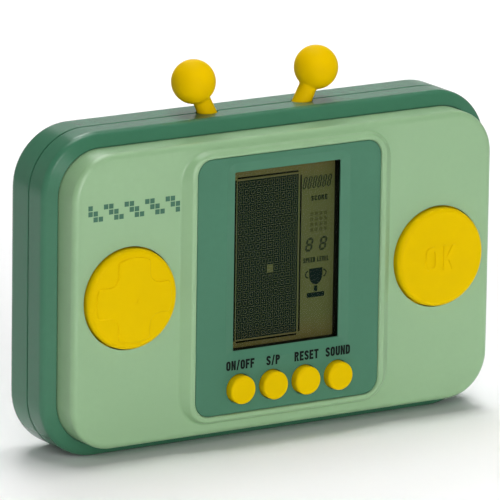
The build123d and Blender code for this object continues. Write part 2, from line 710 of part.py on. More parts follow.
def make_wires():
    """Leads from the battery contacts and from the buzzer to the board."""
    board = y_at(BOARD_FRONT + BOARD_T)
    lug_x = -BAY_HALF_L - BAY_WALL
    upper = BAY_Z + CELL_R + CELL_GAP / 2
    lower = BAY_Z - CELL_R - CELL_GAP / 2
    leads = {}
    for name, z, reach in (("battery_lead_red", upper, 6.0), ("battery_lead_black", lower, 8.0)):
        points = [
            (lug_x - 1.6, y_at(14.0), z),
            (lug_x - reach, y_at(14.0), z),
            (lug_x - reach, board, z),
        ]
        leads[name] = wire(points, 1.8)
    pair = []
    for side in (-1, 1):
        x = BUZZER_X + side * 2.0
        ceramic = y_at(BACK - WALL - 1.0)
        points = [
            (x, ceramic, BUZZER_Z),
            (x, ceramic - 3.0, BUZZER_Z),
            (x, y_at(11.0), BUZZER_Z - 9.0),
            (x, board, BUZZER_Z - 9.0),
        ]
        pair.append(wire(points, 1.5))
    leads["buzzer_leads"] = pair
    return leads


# ---------------------------------------------------------------- batteries
def cell_height(level):
    return BAY_Z + level * (CELL_R + CELL_GAP / 2)


def make_cell(level, side):
    """AAA cell along X, with its positive nub towards the given side."""
    can = Rotation(0, 90, 0) * Cylinder(CELL_R, CELL_L)
    can = fillet(can.edges(), 0.5)
    nub = Rotation(0, 90, 0) * Cylinder(1.9, CELL_NUB + 1)
    nub = Pos(side * (CELL_L / 2 + CELL_NUB / 2 - 0.5), 0, 0) * nub
    offset = side * (BAY_HALF_L - 0.6 - CELL_NUB - CELL_L / 2)
    return Pos(offset, y_at(CELL_DEPTH), cell_height(level)) * (can + nub)


def contact_plate(side, level):
    """Flat nickel plate at one end of the bay."""
    x = side * (BAY_HALF_L - 0.3)
    z = cell_height(level)
    return block(x - 0.25, x + 0.25, 11.2, 20.0, z - 4.4, z + 4.4)


def contact_spring(side, level):
    """Compressed conical coil in front of a contact plate."""
    coil = contact_plate(side, level)
    room = 2 * BAY_HALF_L - 0.6 - CELL_NUB - CELL_L - 0.6
    turns = 5
    wire_r = room / (turns * 1.7)
    for i in range(turns):
        x = side * (BAY_HALF_L - 0.5 - wire_r * 0.9 - i * wire_r * 1.7)
        ring = Rotation(0, 90, 0) * Torus(3.6 - 0.4 * i, wire_r)
        coil += Pos(x, y_at(CELL_DEPTH), cell_height(level)) * ring
    return coil


def solder_lug(level):
    """Tail of a contact through the end wall of the bay."""
    z = cell_height(level)
    return block(-BAY_HALF_L - BAY_WALL - 1.6, -BAY_HALF_L + 0.3, 13.6, 14.4, z - 1.0, z + 1.0)


def make_contacts():
    """Positive plate, negative spring, and the link that joins the cells in series."""
    link = contact_plate(1, -1) + contact_spring(1, 1)
    joint = block(BAY_HALF_L - 0.55, BAY_HALF_L - 0.05, 14.0, 18.0, BAY_Z - 2, BAY_Z + 2)
    return {
        "contact_positive": contact_plate(-1, 1) + solder_lug(1),
        "contact_negative": contact_spring(-1, -1) + solder_lug(-1),
        "contact_link": link + joint,
    }


def make_battery_door():
    """Flat door with two keys, a screw lug and a ribbed thumb grip."""
    door = slab(door_outline(0), BACK - DOOR_T, BACK)
    door = fillet(edges_at(door, BACK), 0.25)
    door -= disc(0, DOOR_SCREW_Z, SCREW_HEAD_R + 0.15, BACK - 1.1, BACK + 1)
    door -= disc(0, DOOR_SCREW_Z, 1.1, BACK - DOOR_T - 1, BACK)
    for i in range(5):
        z = BAY_Z - 4.0 + 2.0 * i
        door -= rounded(0, z, 7.0 - abs(i - 2) * 1.2, 0.45, 0.4, BACK - 0.4, BACK + 1)
    return door


# ---------------------------------------------------------------- antennae
def make_antenna(side):
    """Soft moulded antenna: ball, tapered stem and the collar that the shells trap."""
    frame = antenna_frame(side)
    foot = COLLAR_DROP + COLLAR_T
    ball = Pos(0, 0, ANTENNA_BALL_T) * Sphere(ANTENNA_BALL_R)
    upper = Pos(0, 0, ANTENNA_BALL_T / 2) * Cone(STEM_R_FOOT, STEM_R_TOP, ANTENNA_BALL_T)
    body = ball + upper
    neck = [e for e in body.edges().filter_by(GeomType.CIRCLE) if 1 < e.arc_center.Z < ANTENNA_BALL_T]
    body = fillet(neck, NECK_R)
    body += Pos(0, 0, -foot / 2) * Cylinder(STEM_R_FOOT, foot)
    body += Pos(0, 0, -COLLAR_DROP - COLLAR_T / 2) * Cylinder(COLLAR_R, COLLAR_T)
    return frame * body


# ---------------------------------------------------------------- output
def collect():
    """Every node of the game, by name."""
    nodes = {
        "front_shell": make_front_shell(),
        "rear_shell": make_rear_shell(),
        "face_plate": make_face_plate(),
        "screen_panel": make_screen_panel(),
        "lens": make_lens(),
        "display_frame": make_display_frame(),
        "dpad_button": make_dpad_button(),
        "dpad_rocker": make_dpad_rocker(),
        "dpad_support": make_dpad_support(),
        "dpad_rubber": make_dpad_rubber(),
        "ok_button": make_ok_button(),
        "ok_rubber": make_ok_rubber(),
        "small_button_rubber": make_small_rubber(),
        "circuit_board": make_board(),
        "contact_pads": make_contact_pads(),
        "chip_blob": make_chip(),
        "small_components": make_small_components(),
        "capacitor": make_capacitor(),
        "buzzer": make_buzzer(),
        "battery_upper": make_cell(1, -1),
        "battery_lower": make_cell(-1, 1),
        "battery_door": make_battery_door(),
        "antenna_left": make_antenna(-1),
        "antenna_right": make_antenna(1),
    }
    nodes.update(make_display())
    nodes.update(make_contacts())
    nodes.update(make_wires())
    nodes["ok_contact_pill"] = disc(
        BUTTON_X, PANEL_Z, 2.2, OK_FLANGE + 1.75, OK_FLANGE + 1.75 + PILL_T
    )
    nodes["dpad_contact_pills"] = [
        disc(x, z, 1.4, PAD_FLANGE + 0.6, PAD_FLANGE + 1.1) for x, z in pad_places()
    ]
    for name, (x, z) in zip(SMALL_NAMES, small_button_places()):
        nodes["button_" + name] = make_small_button(x, z)
        nodes["contact_pill_" + name] = disc(x, z, 1.5, 3.7, 3.7 + PILL_T)
    nodes["case_screws"] = [
        screw(x, z, SCREW_SEAT, 1.4, SCREW_HEAD_R, 3.2, SCREW_R) for x, z in case_screw_places()
    ]
    board_back = BOARD_FRONT + BOARD_T
    nodes["board_screws"] = [
        screw(x, z, board_back, 1.0, 1.7, 2.6, 0.78) for x, z in BOARD_SCREWS
    ]
    nodes["battery_door_screw"] = screw(0, DOOR_SCREW_Z, BACK - 1.1, 1.0, SCREW_HEAD_R, 15.6, 0.9)
    return nodes


os.makedirs("parts", exist_ok=True)
for name, shape in collect().items():
    if isinstance(shape, list):
        shape = Compound(children=shape)
    export_step(shape, f"parts/{name}.step")
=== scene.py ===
"""Looks of a handheld LCD game.

Materials for every CAD node, and the printed and displayed graphics that lie on them.
"""

import math

import bmesh
import bpy
from mathutils import Matrix, Vector


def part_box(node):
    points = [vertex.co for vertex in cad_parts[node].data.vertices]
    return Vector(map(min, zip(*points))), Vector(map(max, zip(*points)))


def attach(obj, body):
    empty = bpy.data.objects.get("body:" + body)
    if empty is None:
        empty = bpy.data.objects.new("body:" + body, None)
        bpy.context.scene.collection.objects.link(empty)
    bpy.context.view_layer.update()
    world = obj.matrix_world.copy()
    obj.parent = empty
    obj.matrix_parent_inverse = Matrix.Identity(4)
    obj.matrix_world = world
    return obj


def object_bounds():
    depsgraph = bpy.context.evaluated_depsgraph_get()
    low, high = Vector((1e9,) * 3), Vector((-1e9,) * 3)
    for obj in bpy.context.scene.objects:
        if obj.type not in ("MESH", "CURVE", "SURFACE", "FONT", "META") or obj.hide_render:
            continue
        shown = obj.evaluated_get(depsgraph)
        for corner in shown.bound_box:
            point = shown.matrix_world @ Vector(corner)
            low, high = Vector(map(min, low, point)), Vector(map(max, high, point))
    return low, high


MM = 0.001

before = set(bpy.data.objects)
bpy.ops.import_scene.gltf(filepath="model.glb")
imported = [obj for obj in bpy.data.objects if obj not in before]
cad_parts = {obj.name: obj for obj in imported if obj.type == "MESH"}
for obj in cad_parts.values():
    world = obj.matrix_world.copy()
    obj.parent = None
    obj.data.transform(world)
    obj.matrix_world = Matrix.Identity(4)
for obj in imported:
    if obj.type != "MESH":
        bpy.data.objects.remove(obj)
cad_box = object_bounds()


def middle_of(name):
    """The middle of a CAD node's box, in millimetres."""
    low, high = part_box(name)
    return (low + high) / 2 / MM


# Places read from the frame, in millimetres of the row frame.
PANEL_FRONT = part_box("screen_panel")[0].y / MM
PANEL_PROUD = 1.45  # the panel stands this far in front of the face plate's flat
FACE = PANEL_FRONT + PANEL_PROUD
FILM_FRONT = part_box("display_polariser")[0].y / MM
WINDOW = middle_of("lens")

# -------------------------------------------------------------- helpers for shader nodes

MIX_FIRST, MIX_SECOND, MIX_RESULT = 6, 7, 2  # the colour sockets of a Mix node


def srgb(red, green, blue):
    """Linear colour of an sRGB triple from 0 to 255."""

    def linear(value):
        share = value / 255
        return share / 12.92 if share <= 0.04045 else ((share + 0.055) / 1.055) ** 2.4

    return (linear(red), linear(green), linear(blue), 1.0)


def shade(colour, factor):
    """A linear colour made darker or lighter."""
    return tuple(min(1.0, c * factor) for c in colour[:3]) + (1.0,)


class Shader:
    """A material's node tree, with short calls for the nodes used here."""

    def __init__(self, name):
        self.material = bpy.data.materials.new(name)
        self.material.use_nodes = True
        self.tree = self.material.node_tree
        self.tree.nodes.clear()
        self.output = self.tree.nodes.new("ShaderNodeOutputMaterial")
        self.place = self.tree.nodes.new("ShaderNodeTexCoord").outputs["Object"]

    def node(self, kind, **inputs):
        made = self.tree.nodes.new(kind)
        for key, value in inputs.items():
            self.put(made.inputs[key.replace("_", " ")], value)
        return made

    def put(self, socket, value):
        if isinstance(value, bpy.types.NodeSocket):
            self.tree.links.new(value, socket)
        else:
            socket.default_value = value

    def noise(self, size_mm, detail=2.0, stretch=(1, 1, 1)):
        """Noise from 0 to 1 whose lumps are about size_mm across."""
        place = self.place
        if stretch != (1, 1, 1):
            mapping = self.node("ShaderNodeMapping", Vector=place)
            mapping.inputs["Scale"].default_value = stretch
            place = mapping.outputs["Vector"]
        scale = 1 / (size_mm * MM)
        made = self.node("ShaderNodeTexNoise", Vector=place, Scale=scale, Detail=detail)
        return made.outputs["Fac"]

    def ramp(self, value, low, high, start=0.3, end=0.7):
        """value mapped from start..end to low..high, held at the ends."""
        made = self.node("ShaderNodeMapRange", Value=value)
        made.inputs["From Min"].default_value = start
        made.inputs["From Max"].default_value = end
        made.inputs["To Min"].default_value = low
        made.inputs["To Max"].default_value = high
        return made.outputs["Result"]

    def mix(self, factor, first, second):
        """A colour between first and second."""
        made = self.tree.nodes.new("ShaderNodeMix")
        made.data_type = "RGBA"
        self.put(made.inputs["Factor"], factor)
        self.put(made.inputs[MIX_FIRST], first)
        self.put(made.inputs[MIX_SECOND], second)
        return made.outputs[MIX_RESULT]

    def bump(self, height, depth_mm, under=None):
        """A normal from a height of 0 to 1, depth_mm deep."""
        made = self.node("ShaderNodeBump", Height=height, Distance=depth_mm * MM)
        if under is not None:
            self.put(made.inputs["Normal"], under)
        return made.outputs["Normal"]

    def finish(self, shader):
        self.put(self.output.inputs["Surface"], shader)
        return self.material


CLOUD_MM, MOTTLE_MM = 26, 1.6  # slow and quick changes of a moulding's shade
SWELL_MM, SWELL_DEPTH = 14, 0.02  # its gentle unevenness
PATCH_MM, PATCH_GLOSS = 11, 0.03  # its patches of more and less gloss


def moulded(
    name, colour, roughness, grain_mm=0.35, grain_depth=0.0035, drift=0.05, specular=0.5
):
    """Injection-moulded plastic: a drift of shade, a fine eroded grain and an uneven gloss."""
    s = Shader(name)
    cloud = s.noise(CLOUD_MM, detail=2)
    mottle = s.noise(MOTTLE_MM, detail=3)
    body = s.mix(s.ramp(cloud, 0, 1), shade(colour, 1 - drift), shade(colour, 1 + drift))
    tone = s.mix(s.ramp(mottle, 0, 0.5), body, shade(colour, 1 - drift))
    grain = s.noise(grain_mm, detail=2)
    swell = s.noise(SWELL_MM, detail=1)
    normal = s.bump(swell, SWELL_DEPTH, s.bump(grain, grain_depth))
    made = s.node("ShaderNodeBsdfPrincipled", Base_Color=tone, Normal=normal)
    patches = s.noise(PATCH_MM, detail=2)
    gloss = s.ramp(patches, roughness - PATCH_GLOSS, roughness + PATCH_GLOSS, 0.2, 0.8)
    s.put(made.inputs["Roughness"], gloss)
    made.inputs["Specular IOR Level"].default_value = specular
    return s.finish(made.outputs["BSDF"])


def metal(name, colour, roughness, grain_mm=0.25):
    """Plated or turned metal with fine scratches."""
    s = Shader(name)
    streaks = s.noise(grain_mm, detail=4, stretch=(1, 1, 9))
    made = s.node("ShaderNodeBsdfPrincipled", Metallic=1.0)
    tone = s.mix(s.ramp(s.noise(3, detail=3), 0, 1), shade(colour, 0.86), shade(colour, 1.06))
    s.put(made.inputs["Base Color"], tone)
    s.put(made.inputs["Roughness"], s.ramp(streaks, roughness - 0.08, roughness + 0.14))
    s.put(made.inputs["Normal"], s.bump(streaks, 0.002))
    return s.finish(made.outputs["BSDF"])


def rubber(name, colour):
    """Silicone rubber: matt, a little dusty, with a soft sheen."""
    s = Shader(name)
    dust = s.noise(1.4, detail=5)
    made = s.node("ShaderNodeBsdfPrincipled")
    dusty = s.mix(s.ramp(dust, 0, 1, 0.45, 0.8), colour, shade(colour, 1.45))
    s.put(made.inputs["Base Color"], dusty)
    s.put(made.inputs["Roughness"], s.ramp(s.noise(4), 0.62, 0.78))
    s.put(made.inputs["Normal"], s.bump(s.noise(0.2, detail=3), 0.006))
    made.inputs["Sheen Weight"].default_value = 0.15
    return s.finish(made.outputs["BSDF"])


def printed_ink(name, colour, roughness=0.45, specular=0.25):
    """Screen-printed ink, a little uneven in cover."""
    s = Shader(name)
    cover = s.noise(0.5, detail=4)
    made = s.node("ShaderNodeBsdfPrincipled")
    s.put(made.inputs["Base Color"], s.mix(s.ramp(cover, 0, 1), colour, shade(colour, 1.25)))
    s.put(made.inputs["Roughness"], s.ramp(s.noise(1.2), roughness - 0.06, roughness + 0.08))
    s.put(made.inputs["Normal"], s.bump(s.noise(0.15, detail=2), 0.002))
    made.inputs["Specular IOR Level"].default_value = specular
    return s.finish(made.outputs["BSDF"])


def clear_window(name):
    """Clear acrylic sheet: a thin haze and a weak mirror image that grows at a glancing view."""
    s = Shader(name)
    through = s.node("ShaderNodeBsdfTransparent", Color=(0.93, 0.94, 0.9, 1.0))
    haze = s.noise(9, detail=4)
    mirror = s.node("ShaderNodeBsdfGlossy", Color=(1, 1, 1, 1))
    s.put(mirror.inputs["Roughness"], s.ramp(haze, 0.03, 0.1))
    fresnel = s.node("ShaderNodeFresnel", IOR=1.09)
    made = s.node("ShaderNodeMixShader", Fac=fresnel.outputs["Fac"])
    s.put(made.inputs[1], through.outputs["BSDF"])
    s.put(made.inputs[2], mirror.outputs["BSDF"])
    return s.finish(made.outputs["Shader"])


def polariser_film(name, middle, shaded_edge):
    """Polarising film: olive with faint streaks, and a painted brownish shade towards its upper
    and lower edge.
    """
    s = Shader(name)
    low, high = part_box("display_polariser")
    centre = (low + high) / 2
    scale = [2 / (h - l + MM) for l, h in zip(low, high)]
    shifted = s.node("ShaderNodeMapping", Vector=s.place)
    shifted.inputs["Location"].default_value = [-c * k for c, k in zip(centre, scale)]
    shifted.inputs["Scale"].default_value = scale
    parts = s.node("ShaderNodeSeparateXYZ", Vector=shifted.outputs["Vector"])
    tall = s.tree.nodes.new("ShaderNodeMath")
    tall.operation = "ABSOLUTE"
    s.put(tall.inputs[0], parts.outputs["Z"])
    streaks = s.noise(3, detail=3, stretch=(1, 1, 0.15))
    # painted shade: near its upper and lower edge the film takes the brownish edge colour
    rim_shading = s.ramp(tall.outputs[0], 0, 1, 0.72, 0.98)
    tone = s.mix(rim_shading, middle, shaded_edge)
    cloudy = s.mix(s.ramp(streaks, 0, 0.35), tone, shade(middle, 0.8))
    made = s.node("ShaderNodeBsdfPrincipled", Base_Color=cloudy)
    s.put(made.inputs["Roughness"], s.ramp(s.noise(6), 0.34, 0.46))
    s.put(made.inputs["Normal"], s.bump(s.noise(0.12), 0.001))
    made.inputs["Specular IOR Level"].default_value = 0.08
    return s.finish(made.outputs["BSDF"])


def circuit_laminate(name, colour):
    """Green solder mask over woven glass cloth."""
    s = Shader(name)
    weave = s.node("ShaderNodeTexBrick", Vector=s.place, Scale=1 / (1.2 * MM))
    made = s.node("ShaderNodeBsdfPrincipled")
    s.put(weave.inputs["Color1"], colour)
    s.put(weave.inputs["Color2"], shade(colour, 1.12))
    s.put(weave.inputs["Mortar"], shade(colour, 0.85))
    s.put(made.inputs["Base Color"], weave.outputs["Color"])
    s.put(made.inputs["Roughness"], s.ramp(s.noise(3), 0.28, 0.4))
    s.put(made.inputs["Normal"], s.bump(weave.outputs["Fac"], 0.006))
    return s.finish(made.outputs["BSDF"])


# -------------------------------------------------------------- colours and finishes

DARK_GREEN = srgb(61, 114, 87)
PANEL_GREEN = srgb(69, 117, 93)
MINT = srgb(137, 172, 130)
YELLOW = srgb(217, 182, 0)
BALL_YELLOW = srgb(226, 185, 0)
INK = srgb(6, 9, 9)
MOTIF_GREEN = srgb(56, 97, 78)

# One finish for each kind of node; SAME_FINISH lists the other nodes that share it.
FINISH = {
    "front_shell": moulded("dark_shell", DARK_GREEN, 0.25, specular=0.31),
    "face_plate": moulded("pale_shell", MINT, 0.33, drift=0.03, specular=0.5),
    "screen_panel": moulded("panel_green", PANEL_GREEN, 0.42, grain_depth=0.002, specular=0.15),
    "dpad_button": moulded("yellow_plastic", YELLOW, 0.42, drift=0.02, specular=0.02),
    "antenna_left": moulded(
        "soft_yellow", BALL_YELLOW, 0.5, grain_mm=0.5, drift=0.02, specular=0.02
    ),
    "lens": clear_window("clear_window"),
    "display_frame": moulded("black_plastic", srgb(3, 4, 3), 0.5, specular=0.05),
    # the polariser's second colour is a painted brownish shade near the window's upper and lower
    # edge
    "display_polariser": polariser_film("polariser_film", srgb(85, 91, 53), srgb(97, 87, 46)),
    "display_front_glass": moulded("display_glass", srgb(120, 140, 128), 0.12, grain_depth=0.0),
    "display_reflector": metal("reflector_film", srgb(170, 172, 160), 0.4),
    "dpad_rubber": rubber("black_rubber", srgb(34, 36, 36)),
    "small_button_rubber": rubber("grey_rubber", srgb(150, 152, 148)),
    "dpad_contact_pills": moulded("carbon", srgb(22, 22, 22), 0.7, grain_mm=0.15),
    "dpad_support": moulded("white_plastic", srgb(214, 212, 204), 0.5),
    "circuit_board": circuit_laminate("board", srgb(26, 88, 48)),
    "chip_blob": moulded("resin", srgb(14, 14, 15), 0.22, grain_mm=1.2, grain_depth=0.01),
    "small_components": moulded("ceramic_parts", srgb(150, 124, 92), 0.5),
    "capacitor": moulded("capacitor_can", srgb(36, 44, 92), 0.34),
    "buzzer": metal("brass_disc", srgb(202, 168, 92), 0.3),
    "battery_lead_red": moulded("red_lead", srgb(178, 26, 22), 0.42),
    "battery_lead_black": moulded("black_lead", srgb(20, 20, 21), 0.42),
    "battery_upper": moulded("cell_label", srgb(52, 88, 124), 0.32, drift=0.08),
    "contact_positive": metal("nickel", srgb(196, 194, 188), 0.28),
    "case_screws": metal("screw_steel", srgb(150, 150, 150), 0.32),
}

SAME_FINISH = {
    "front_shell": ["rear_shell", "battery_door"],
    "dpad_button": [
        "ok_button",
        "button_on_off",
        "button_start_pause",
        "button_reset",
        "button_sound",
    ],
    "antenna_left": ["antenna_right"],
    "display_front_glass": ["display_rear_glass"],
    "dpad_rubber": ["ok_rubber", "zebra_strip"],
    "dpad_contact_pills": [
        "ok_contact_pill",
        "contact_pill_on_off",
        "contact_pill_start_pause",
        "contact_pill_reset",
        "contact_pill_sound",
        "contact_pads",
    ],
    "dpad_support": ["dpad_rocker"],
    "battery_lead_red": ["buzzer_leads"],
    "battery_upper": ["battery_lower"],
    "contact_positive": ["contact_negative", "contact_link"],
    "case_screws": ["board_screws", "battery_door_screw"],
}


def paint(name, material):
    """A CAD node gets that one material."""
    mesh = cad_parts[name].data
    mesh.materials.clear()
    mesh.materials.append(material)


for first, material in FINISH.items():
    paint(first, material)
    for other in SAME_FINISH.get(first, []):
        paint(other, material)

# -------------------------------------------------------------- flat shapes, in millimetres
# x goes across to the player's right and z goes up.


def arc(x, z, radius, start, end, steps=6, flat=1.0):
    """Points of an arc; angles in degrees from +x towards +z. flat squeezes it in z."""
    angles = [math.radians(start + (end - start) * i / steps) for i in range(steps + 1)]
    return [(x + radius * math.cos(a), z + radius * flat * math.sin(a)) for a in angles]


def box_loop(left, low, right, high):
    """A plain rectangle."""
    return [(left, low), (right, low), (right, high), (left, high)]


def round_box(left, low, right, high, radius):
    """A rectangle with round corners.

    radius is one number or four, from the lower left corner anticlockwise.
    """
    radii = [radius] * 4 if isinstance(radius, (int, float)) else radius
    corners = [(left, low, 180), (right, low, 270), (right, high, 0), (left, high, 90)]
    points = []
    for (x, z, start), r in zip(corners, radii):
        if r <= 0:
            points.append((x, z))
            continue
        inward_x = r if x == left else -r
        inward_z = r if z == low else -r
        points += arc(x + inward_x, z + inward_z, r, start, start + 90)
    return points


def ribbon(line, width):
    """The outline of a stroke of that width along an open smooth line."""
    sides = [[], []]
    for i, (x, z) in enumerate(line):
        ahead = line[min(i + 1, len(line) - 1)]
        behind = line[max(i - 1, 0)]
        along = Vector((ahead[0] - behind[0], ahead[1] - behind[1])).normalized()
        for side, sign in zip(sides, (1, -1)):
            side.append((x - along.y * sign * width / 2, z + along.x * sign * width / 2))
    return sides[0] + sides[1][::-1]


def moved(loops, x, z):
    """The loops moved by x and z."""
    return [[(x + px, z + pz) for px, pz in loop] for loop in loops]


class Letters:
    """Condensed capitals: every letter is a list of loops in a box of one width and height."""

    WAIST = 0.42  # height of the waist of P and R, as a share of the letter's

    def __init__(self, width, height, stroke):
        self.w, self.h, self.s = width, height, stroke
        self.r = min(width / 2, stroke * 1.35)

    def ring(self, radii):
        """A closed band with a hole, and its four outer corner radii."""
        w, h, s = self.w, self.h, self.s
        inner = [max(0.0, r - s) for r in radii]
        return [round_box(0, 0, w, h, radii), round_box(s, s, w - s, h - s, inner)]

    def O(self):
        return self.ring([self.r] * 4)

    def D(self):
        return self.ring([0, self.r, self.r, 0])

    def P(self):
        w, h, s, r = self.w, self.h, self.s, self.r
        waist = self.WAIST * h
        outer = [(0, 0), (s, 0), (s, waist)]
        outer += arc(w - r, waist + r, r, 270, 360)
        outer += arc(w - r, h - r, r, 0, 90)
        outer += [(0, h)]
        return [outer, round_box(s, waist + s, w - s, h - s, [0, r - s, r - s, 0])]

    def R(self):
        w, h, s, r = self.w, self.h, self.s, self.r
        waist = self.WAIST * h
        outer = [(0, 0), (s, 0), (s, waist), (s + 0.1 * w, waist), (w - s, 0), (w + 0.04 * w, 0)]
        outer += [(w - 0.28 * w, waist + 0.05 * h)]
        outer += arc(w - r, waist + 0.06 * h + r, r, 320, 360, 3)
        outer += arc(w - r, h - r, r, 0, 90)
        outer += [(0, h)]
        return [outer, round_box(s, waist + s, w - s, h - s, [0, r - s, r - s, 0])]

    def N(self):
        w, h, s = self.w, self.h, self.s
        return [
            [
                (0, 0),
                (s * 0.92, 0),
                (s * 0.92, 0.56 * h),
                (w - s, 0),
                (w, 0),
                (w, h),
                (w - s * 0.92, h),
                (w - s * 0.92, 0.44 * h),
                (s, h),
                (0, h),
            ]
        ]

    def F(self, foot=False):
        w, h, s = self.w * 0.92, self.h, self.s
        middle = 0.5 * h
        loop = [(0, 0), (w, 0), (w, s), (s, s)] if foot else [(0, 0), (s, 0)]
        low, high, right = middle - s / 2, middle + s / 2, 0.86 * w
        loop += [(s, low), (right, low), (right, high), (s, high)]
        return [loop + [(s, h - s), (w, h - s), (w, h), (0, h)]]

    def E(self):
        return self.F(foot=True)

    def L(self):
        w, h, s = self.w * 0.9, self.h, self.s
        return [[(0, 0), (w, 0), (w, s), (s, s), (s, h), (0, h)]]

    def T(self):
        w, h, s = self.w, self.h, self.s
        left, right = (w - s) / 2, (w + s) / 2
        stem = [(left, 0), (right, 0), (right, h - s)]
        return [stem + [(w, h - s), (w, h), (0, h), (0, h - s), (left, h - s)]]

    def V(self):
        w, h, s = self.w, self.h, self.s
        middle, foot = w / 2, s * 0.55
        outer = [(middle - foot, 0), (middle + foot, 0), (w, h), (w - s, h)]
        return [outer + [(middle, 1.5 * s), (s, h), (0, h)]]

    def U(self):
        w, h, s, r = self.w, self.h, self.s, self.r
        outer = arc(r, r, r, 180, 270) + arc(w - r, r, r, 270, 360)
        inner = arc(w - r, r, r - s, 360, 270) + arc(r, r, r - s, 270, 180)
        return [outer + [(w, h), (w - s, h)] + inner + [(s, h), (0, h)]]

    def C(self):
        w, h, s = self.w, self.h, self.s
        r = self.r - s / 2
        line = [(w - s / 2, 0.7 * h)] + arc(w - s / 2 - r, h - s / 2 - r, r, 0, 90)
        line += arc(s / 2 + r, h - s / 2 - r, r, 90, 180) + arc(s / 2 + r, s / 2 + r, r, 180, 270)
        line += arc(w - s / 2 - r, s / 2 + r, r, 270, 360) + [(w - s / 2, 0.3 * h)]
        return [ribbon(line, s)]

    def S(self):
        w, h, s = self.w, self.h, self.s
        r = self.r - s / 2
        left, right = s / 2 + r, w - s / 2 - r
        top, foot = h - s / 2 - r, s / 2 + r
        line = [(right + r, 0.72 * h)] + arc(right, top, r, 0, 90) + arc(left, top, r, 90, 180)
        line += [(left - r, 0.66 * h), (left - r * 0.6, 0.58 * h), (w / 2, 0.5 * h)]
        line += [(right + r * 0.6, 0.42 * h), (right + r, 0.34 * h)]
        line += arc(right, foot, r, 360, 270) + arc(left, foot, r, 270, 180)
        line += [(left - r, 0.28 * h)]
        return [ribbon(line, s)]

    def slash(self):
        w, h, s = self.w * 0.78, self.h, self.s * 0.8
        return [[(0, -0.04 * h), (s, -0.04 * h), (w, 1.04 * h), (w - s, 1.04 * h)]]

    def word(self, text, left, low, gap):
        """Loops for a word whose first letter starts at left, and the word's width."""
        loops, x = [], 0
        for letter in text:
            shape = self.slash() if letter == "/" else getattr(self, letter)()
            loops += moved(shape, left + x, low)
            x += max(px for loop in shape for px, _ in loop) + gap
        return loops, x - gap

    def centred(self, text, middle, low, gap):
        """Loops for a word centred on middle."""
        width = self.word(text, 0, 0, gap)[1]
        return self.word(text, middle - width / 2, low, gap)[0]


WELD_DISTANCE = 1e-7


def thin_piece(name, loops, front, back, material, body="case"):
    """A thin flat piece that faces the player, from depth front to depth back.

    loops are its outlines and holes.
    """
    curve = bpy.data.curves.new(name, "CURVE")
    curve.dimensions = "2D"
    curve.fill_mode = "BOTH"
    curve.extrude = abs(back - front) / 2 * MM
    for loop in loops:
        spline = curve.splines.new("POLY")
        spline.points.add(len(loop) - 1)
        for point, (x, z) in zip(spline.points, loop):
            point.co = (x * MM, z * MM, 0, 1)
        spline.use_cyclic_u = True
    drawn = bpy.data.objects.new(name + "_outline", curve)
    bpy.context.scene.collection.objects.link(drawn)
    bpy.context.view_layer.update()
    filled = drawn.evaluated_get(bpy.context.evaluated_depsgraph_get())
    mesh = bpy.data.meshes.new_from_object(filled)
    bpy.data.objects.remove(drawn)
    bpy.data.curves.remove(curve)
    depth = Matrix.Translation((0, (front + back) / 2 * MM, 0))
    mesh.transform(depth @ Matrix.Rotation(math.radians(90), 4, "X"))
    welded = bmesh.new()
    welded.from_mesh(mesh)
    bmesh.ops.remove_doubles(welded, verts=welded.verts, dist=WELD_DISTANCE)
    bmesh.ops.recalc_face_normals(welded, faces=welded.faces)
    welded.to_mesh(mesh)
    welded.free()
    mesh.name = name
    mesh.materials.clear()
    mesh.materials.append(material)
    piece = bpy.data.objects.new(name, mesh)
    bpy.context.scene.collection.objects.link(piece)
    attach(piece, body)


INK_THICK = 0.03
INK_SUNK = 0.01  # the print goes this far into the plastic under it


def print_on(surface, name, loops, material):
    """A print on a flat face of the case whose depth is surface."""
    back = surface + INK_SUNK
    thin_piece(name, loops, back - INK_THICK, back, material)


# -------------------------------------------------------------- words above the four small keys

# Each key, its word's piece, its word, and how far right of the key's middle the word stands.
LABELS = [
    ("button_on_off", "print_on_off", "ON/OFF", 0.15),
    ("button_start_pause", "print_start_pause", "S/P", 0.2),
    ("button_reset", "print_reset", "RESET", 0.45),
    ("button_sound", "print_sound", "SOUND", 0.2),
]
LABEL_RISE = 4.35  # from the key's middle to the word's foot
LABEL_TYPE = Letters(1.14, 2.15, 0.47)
LABEL_GAP = 0.18
ink = printed_ink("black_print", INK, 0.45, 0.1)
for key, name, text, nudge in LABELS:
    place = middle_of(key)
    loops = LABEL_TYPE.centred(text, place.x + nudge, place.z + LABEL_RISE, LABEL_GAP)
    print_on(PANEL_FRONT, name, loops, ink)

# -------------------------------------------------------------- a plain strip above the cross key

MOTIF_ROWS = ["#..##..##..##..##.", "##..##..##..##..##", ".##..##..##..##..#"]
MOTIF_STEP, MOTIF_SQUARE = 1.3, 1.1
MOTIF_IN, MOTIF_DOWN = 3.6, 14.55  # from the face plate's left and top edges to the strip's foot
plate_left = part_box("face_plate")[0].x / MM
plate_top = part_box("face_plate")[1].z / MM
motif = []
for row, marks in enumerate(reversed(MOTIF_ROWS)):
    for column, mark in enumerate(marks):
        if mark == "#":
            x = plate_left + MOTIF_IN + column * MOTIF_STEP
            z = plate_top - MOTIF_DOWN + row * MOTIF_STEP
            motif.append(box_loop(x, z, x + MOTIF_SQUARE, z + MOTIF_SQUARE))
motif_ink = printed_ink("green_print", MOTIF_GREEN)
print_on(FACE, "print_face_strip", motif, motif_ink)

# -------------------------------------------------------------- what the display shows
# Places are measured from the middle of the window.

MARK_SUNK, MARK_PROUD = 0.005, 0.025  # behind and in front of the film's face
FIELD = (-11.44, -18.52, 4.41, 17.43)  # left, low, right and high edge
COLUMNS, ROWS = 10, 20
EMPTY_CELL = (5, 8)
CELL_GAP = 0.08
CELL_INSETS = (0, 0.36, 0.46)  # outer edge of a cell's frame, inner edge, and its core

